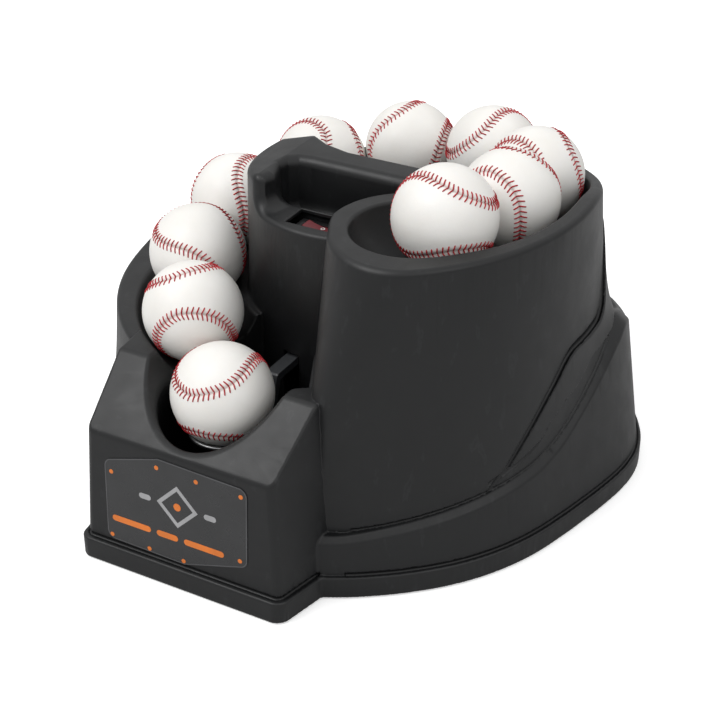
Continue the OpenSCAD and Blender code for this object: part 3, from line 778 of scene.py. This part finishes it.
def cube_sphere(n):
    """Points and quads of a unit sphere, made from the six faces of a cube."""
    side = np.tan(np.linspace(-np.pi / 4, np.pi / 4, n + 1))
    u, v = np.meshgrid(side, side, indexing="ij")
    one = np.ones_like(u)
    corner = np.arange((n + 1) ** 2).reshape(n + 1, n + 1)
    quad = np.stack([corner[:-1, :-1], corner[1:, :-1], corner[1:, 1:], corner[:-1, 1:]], -1).reshape(-1, 4)
    points, quads = [], []
    for axis in range(3):
        for sign in (1, -1):
            face = np.stack(np.roll([sign * one, u * sign, v], axis, 0), -1).reshape(-1, 3)
            quads.append(quad + len(points) * (n + 1) ** 2)
            points.append(face)
    points = unit(np.concatenate(points))
    kept, first, back = np.unique(np.round(points * 1e5), axis=0, return_index=True, return_inverse=True)
    return points[first], back.reshape(-1)[np.concatenate(quads)]


def tube(path, radius, sides=6):
    """Points and quads of a closed tube along a path that stays near a sphere about the origin."""
    along = unit(np.gradient(path, axis=0))
    across = unit(np.cross(along, unit(path)))
    up = np.cross(across, along)
    a = np.arange(sides)[None, :, None] * 2 * np.pi / sides
    ring = path[:, None] + radius * (np.cos(a) * across[:, None] + np.sin(a) * up[:, None])
    n = len(path)
    i, j = np.meshgrid(np.arange(n - 1), np.arange(sides), indexing="ij")
    k = (j + 1) % sides
    start, end = i * sides, (i + 1) * sides
    quads = np.stack([start + j, end + j, end + k, start + k], -1).reshape(-1, 4)
    cap = np.array([(0, 1, 2, 3), (0, 3, 4, 5)])
    last = (n - 1) * sides
    return ring.reshape(-1, 3), np.concatenate([quads, cap, cap[:, ::-1] + last])


def stitch_paths():
    """One path for each leg of each V stitch, diving into the leather at both ends."""
    at = seam_points(STITCHES)
    forward = unit(np.roll(at, -1, 0) - np.roll(at, 1, 0))
    aside = np.cross(at, forward)
    legs = [(0.2, -0.4, -0.9), (0.9, -0.2, 0.14), (2.6, 0.4, 0.36), (4.0, 0.9, 0.18), (4.9, 1.2, -0.7)]
    for k in range(STITCHES):
        for side in (1, -1):
            path = [unit(at[k] * LEATHER_R + aside[k] * side * out + forward[k] * on) * (LEATHER_R + rise)
                    for out, on, rise in legs]
            yield np.array(path)


def baseball_mesh():
    points, quads = cube_sphere(BALL_GRID)
    seam = seam_points(900)
    near = np.concatenate([np.sqrt(np.maximum(2 - 2 * (part @ seam.T).max(1), 0))
                           for part in np.array_split(points, 12)]) * LEATHER_R
    crease = np.exp(-(near / 1.2) ** 2)
    puff = np.exp(-((near - 3.2) / 1.7) ** 2)
    shape = points * (LEATHER_R - 0.8 * crease + 0.15 * puff)[:, None]
    all_points, all_quads = [shape], [quads]
    count = len(shape)
    for path in stitch_paths():
        p, q = tube(path, THREAD_R)
        all_points.append(p)
        all_quads.append(q + count)
        count += len(p)
    mesh = mesh_from("baseball", np.concatenate(all_points), np.concatenate(all_quads))
    mesh.materials.append(ball_leather())
    mesh.materials.append(thread_red())
    kind = np.ones(len(mesh.polygons), np.int32)
    kind[:len(quads)] = 0
    mesh.polygons.foreach_set("material_index", kind)
    mesh.polygons.foreach_set("use_smooth", np.ones(len(kind), bool))
    # painted shade: darkens the leather at the bottom of the seam's crease, read by the leather as the seam
    # attribute
    shade = np.zeros(len(mesh.vertices), np.float32)
    shade[:len(shape)] = np.exp(-(near / 0.8) ** 2) * 0.8
    mesh.attributes.new("seam", "FLOAT", "POINT").data.foreach_set("value", shade)
    return mesh


ball_mesh = baseball_mesh()
for number, (turn, tip, roll) in enumerate(BALL_TURNS, 1):
    ball = bpy.data.objects.new(f"leather_ball_{number:02d}", ball_mesh)
    bpy.context.scene.collection.objects.link(ball)
    spin = (Matrix.Rotation(math.radians(turn), 4, "Z") @ Matrix.Rotation(math.radians(tip), 4, "X")
            @ Matrix.Rotation(math.radians(roll), 4, "Z"))
    ball.matrix_world = Matrix.Translation(node_centre(f"baseball_{number:02d}") * MM) @ spin
    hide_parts(f"baseball_{number:02d}")
    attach(ball, f"ball_{number:02d}")


# ---------------------------------------------------------------- flat art: the label and the switch marks
def arc(centre, radius, start, end, step=6):
    """Points along an arc, in degrees."""
    count = max(2, math.ceil(abs(end - start) / step) + 1)
    return [(centre[0] + radius * math.cos(math.radians(a)), centre[1] + radius * math.sin(math.radians(a)))
            for a in np.linspace(start, end, count)]


def slab(corners, low, high):
    """A flat plate with this outline, anticlockwise."""
    n = len(corners)
    points = [(x, y, low) for x, y in corners] + [(x, y, high) for x, y in corners]
    faces = [tuple(range(n - 1, -1, -1)), tuple(range(n, 2 * n))]
    return points, faces + [(i, (i + 1) % n, n + (i + 1) % n, n + i) for i in range(n)]


def hoop(outer, inner, low, high):
    """A closed band between two outlines with the same number of corners."""
    n = len(outer)
    rings = ((outer, low), (inner, low), (inner, high), (outer, high))
    points = [(x, y, z) for ring, z in rings for x, y in ring]
    faces = []
    for level in range(4):
        after_it = (level + 1) % 4
        for i in range(n):
            j = (i + 1) % n
            faces.append((level * n + i, after_it * n + i, after_it * n + j, level * n + j))
    return points, faces


def art_piece(name, shapes, place, node, body):
    """One object from (points and faces, material) shapes in mm, set in place by a matrix in metres."""
    points, faces, kinds, materials = [], [], [], []
    for (shape_points, shape_faces), material in shapes:
        if material not in materials:
            materials.append(material)
        faces += [tuple(i + len(points) for i in face) for face in shape_faces]
        kinds += [materials.index(material)] * len(shape_faces)
        points += [tuple(c * MM for c in p) for p in shape_points]
    mesh = bpy.data.meshes.new(name)
    mesh.from_pydata(points, [], faces)
    for material in materials:
        mesh.materials.append(material)
    mesh.polygons.foreach_set("material_index", kinds)
    piece = bpy.data.objects.new(name, mesh)
    bpy.context.scene.collection.objects.link(piece)
    piece.matrix_world = place
    if node:
        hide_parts(node)
    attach(piece, body)


LABEL_LEAN = math.atan(5 / 84.5)         # the box front leans back by 5 mm in 84.5 mm
LABEL_AT = (-30.0, -221.5, LIP_H + 4)   # the middle of the label's foot, on the box front
FILM = 0.45            # thickness of the label
INK = 0.14             # how far the printed marks stand out from it
ROCKER_PIVOT_Z = 211.5
FACE_LOW = 7.0          # lowest point of the rocker's hollow face, above its pivot
FACE_R = 31.0           # how round that face is
MARK_X = 4.4            # the marks' distance from the pivot along the rocker
MARK_Y = 2.0            # and towards its back edge


def label_outline(inset):
    r = 7 - inset
    left, right = -50, 54
    return (arc((left, 7), r, 180, 270) + [(9, -1 + inset)] + arc((right, 20), r, 285, 360)
            + arc((right, 70.5), r, 0, 80) + [(-11, 79.5 - inset)] + arc((left, 60), r, 110, 180))


def disc(x, y, r, low=FILM, high=FILM + INK):
    return slab(arc((x, y), r, 0, 345, 15), low, high)


def dash(x_from, x_to, y, half):
    """A rounded bar."""
    return slab(arc((x_to - half, y), half, -90, 90, 15) + arc((x_from + half, y), half, 90, 270, 15),
                FILM, FILM + INK)


def make_label():
    """The printed film: a plain diamond with dashes, three bars and a ring of dots."""
    emblem = (4.0, 45.0)
    diamond = hoop(arc(emblem, 17, 0, 270, 90), arc(emblem, 13, 0, 270, 90), FILM - 0.02, FILM + INK)
    shapes = [(slab(label_outline(0), 0.02, FILM), film_black),
              (hoop(label_outline(0.3), label_outline(1.0), FILM - 0.02, FILM + 0.1), trim_grey),
              (diamond, emblem_grey),
              (disc(*emblem, 3.0), print_orange)]
    for x, y in ((-51.3, 56.5), (-12.5, 71.8), (20, 70.8), (56, 70.6), (-53, 3.5), (-20.8, 2.2), (8.2, 1.8),
                 (55, 18.5)):
        shapes.append((disc(x, y, 1.7), print_orange))
    for x_from, x_to in ((-52, -19), (-14, 4), (9, 42)):
        shapes.append((dash(x_from, x_to, 18.5, 2.4), print_orange))
    for x_from, x_to in ((-28, -18), (26, 36)):
        shapes.append((dash(x_from, x_to, 45, 2.2), emblem_grey))
    place = (Matrix.Translation(Vector(LABEL_AT) * MM) @ Matrix.Rotation(math.pi / 2 - LABEL_LEAN, 4, "X"))
    art_piece("front_label_film", shapes, place, "front_label", "casing")


def make_switch_marks():
    """A bar on one half of the rocker and a ring on the other, raised from its hollow face."""
    tilt = math.radians(9)
    pivot = Vector((SWITCH[0], SWITCH[1], ROCKER_PIVOT_Z))
    place = Matrix.Translation(pivot * MM) @ Matrix.Rotation(tilt, 4, "Y")
    rise = FACE_LOW + FACE_R - math.sqrt(FACE_R ** 2 - MARK_X ** 2)
    lean = math.asin(MARK_X / FACE_R)
    bar = slab([(-0.45, -1.9), (0.45, -1.9), (0.45, 1.9), (-0.45, 1.9)], -0.05, 0.12)
    ring = hoop(arc((0, 0), 1.7, 0, 345, 15), arc((0, 0), 1.0, 0, 345, 15), -0.05, 0.12)
    for name, side, shape in (("rocker_bar", -1, bar), ("rocker_ring", 1, ring)):
        shift = Matrix.Translation(Vector((side * MARK_X, MARK_Y, rise)) * MM)
        turn = Matrix.Rotation(-side * lean, 4, "Y")
        art_piece(name, [(shape, mark_white)], place @ shift @ turn, None, "rocker")


make_label()
make_switch_marks()

# ---------------------------------------------------------------- camera, light and floor
AZIMUTH = math.radians(28.69)
ELEVATION = math.radians(30.69)
CAMERA_AT = (0.5107, -0.9373, 0.7120)
LENS = 79.2            # mm, on a sensor 36 mm wide
SKY_LOW = 0.42         # brightness of the studio at eye level
SKY_HIGH = 0.95        # and overhead
FLOOR_SIZE = 6000      # mm to each side
FLOOR_DIM = 0.62       # how much light the floor throws back at the object
FLOOR_GLOW = 0.42      # lifts the floor to white in the picture


def make_camera():
    data = bpy.data.cameras.new("camera")
    data.sensor_width = 36
    data.lens = LENS
    camera = bpy.data.objects.new("camera", data)
    camera.location = CAMERA_AT
    camera.rotation_euler = (math.pi / 2 - ELEVATION, 0, AZIMUTH)
    bpy.context.scene.collection.objects.link(camera)
    bpy.context.scene.camera = camera


def area_light(name, at, aim, size, power):
    data = bpy.data.lights.new(name, "AREA")
    data.shape = "RECTANGLE"
    data.size, data.size_y = size
    data.energy = power
    light = bpy.data.objects.new(name, data)
    light.location = at
    light.rotation_euler = (Vector(at) - Vector(aim)).to_track_quat("Z", "Y").to_euler()
    bpy.context.scene.collection.objects.link(light)


def seen_directly(tree):
    """1 for what the camera sees itself, 0 for what lights and mirrors in the object."""
    return tree.nodes.new("ShaderNodeLightPath").outputs["Is Camera Ray"]


def make_floor():
    """A floor that looks white, but throws less light back up than white paper would."""
    made, tree, bsdf = new_material("floor_white")
    bsdf.inputs["Base Color"].default_value = (0.9, 0.9, 0.9, 1)
    bsdf.inputs["Roughness"].default_value = 0.9
    bsdf.inputs["Emission Color"].default_value = (1, 1, 1, 1)
    bsdf.inputs["Emission Strength"].default_value = FLOOR_GLOW
    dim = add(tree, "ShaderNodeBsdfDiffuse", Color=(FLOOR_DIM, FLOOR_DIM, FLOOR_DIM, 1))
    both = tree.nodes.new("ShaderNodeMixShader")
    tree.links.new(seen_directly(tree), both.inputs["Fac"])
    tree.links.new(dim.outputs["BSDF"], both.inputs[1])
    tree.links.new(bsdf.outputs["BSDF"], both.inputs[2])
    tree.links.new(both.outputs["Shader"], tree.nodes["Material Output"].inputs["Surface"])
    corners = np.array([(-1, -1, 0), (1, -1, 0), (1, 1, 0), (-1, 1, 0)], float) * FLOOR_SIZE
    floor = bpy.data.objects.new("floor", mesh_from("floor", corners, np.array([[0, 1, 2, 3]])))
    floor.data.materials.append(made)
    bpy.context.scene.collection.objects.link(floor)


def make_sky():
    """A studio that is brighter overhead than at eye level, and plain white behind the object."""
    world = bpy.data.worlds.new("studio")
    bpy.context.scene.world = world
    world.use_nodes = True
    tree = world.node_tree
    where = tree.nodes.new("ShaderNodeTexCoord")
    parts = tree.nodes.new("ShaderNodeSeparateXYZ")
    tree.links.new(where.outputs["Generated"], parts.inputs["Vector"])
    sky = ramp(tree, parts.outputs["Z"], (0.0, SKY_LOW), (0.75, SKY_HIGH))
    colour = mixed(tree, seen_directly(tree), sky, (1.0, 1.0, 1.0))
    tree.links.new(colour, tree.nodes["Background"].inputs["Color"])
    tree.nodes["Background"].inputs["Strength"].default_value = 1.0


def make_stage():
    make_floor()
    make_sky()
    area_light("key", (-0.9, -1.1, 2.0), (0, 0, 0.1), (1.2, 1.2), 22)
    area_light("fill", (1.5, -0.6, 1.2), (0, 0, 0.1), (1.0, 1.0), 3)


make_camera()
make_stage()
bpy.context.scene.view_settings.view_transform = "Standard"
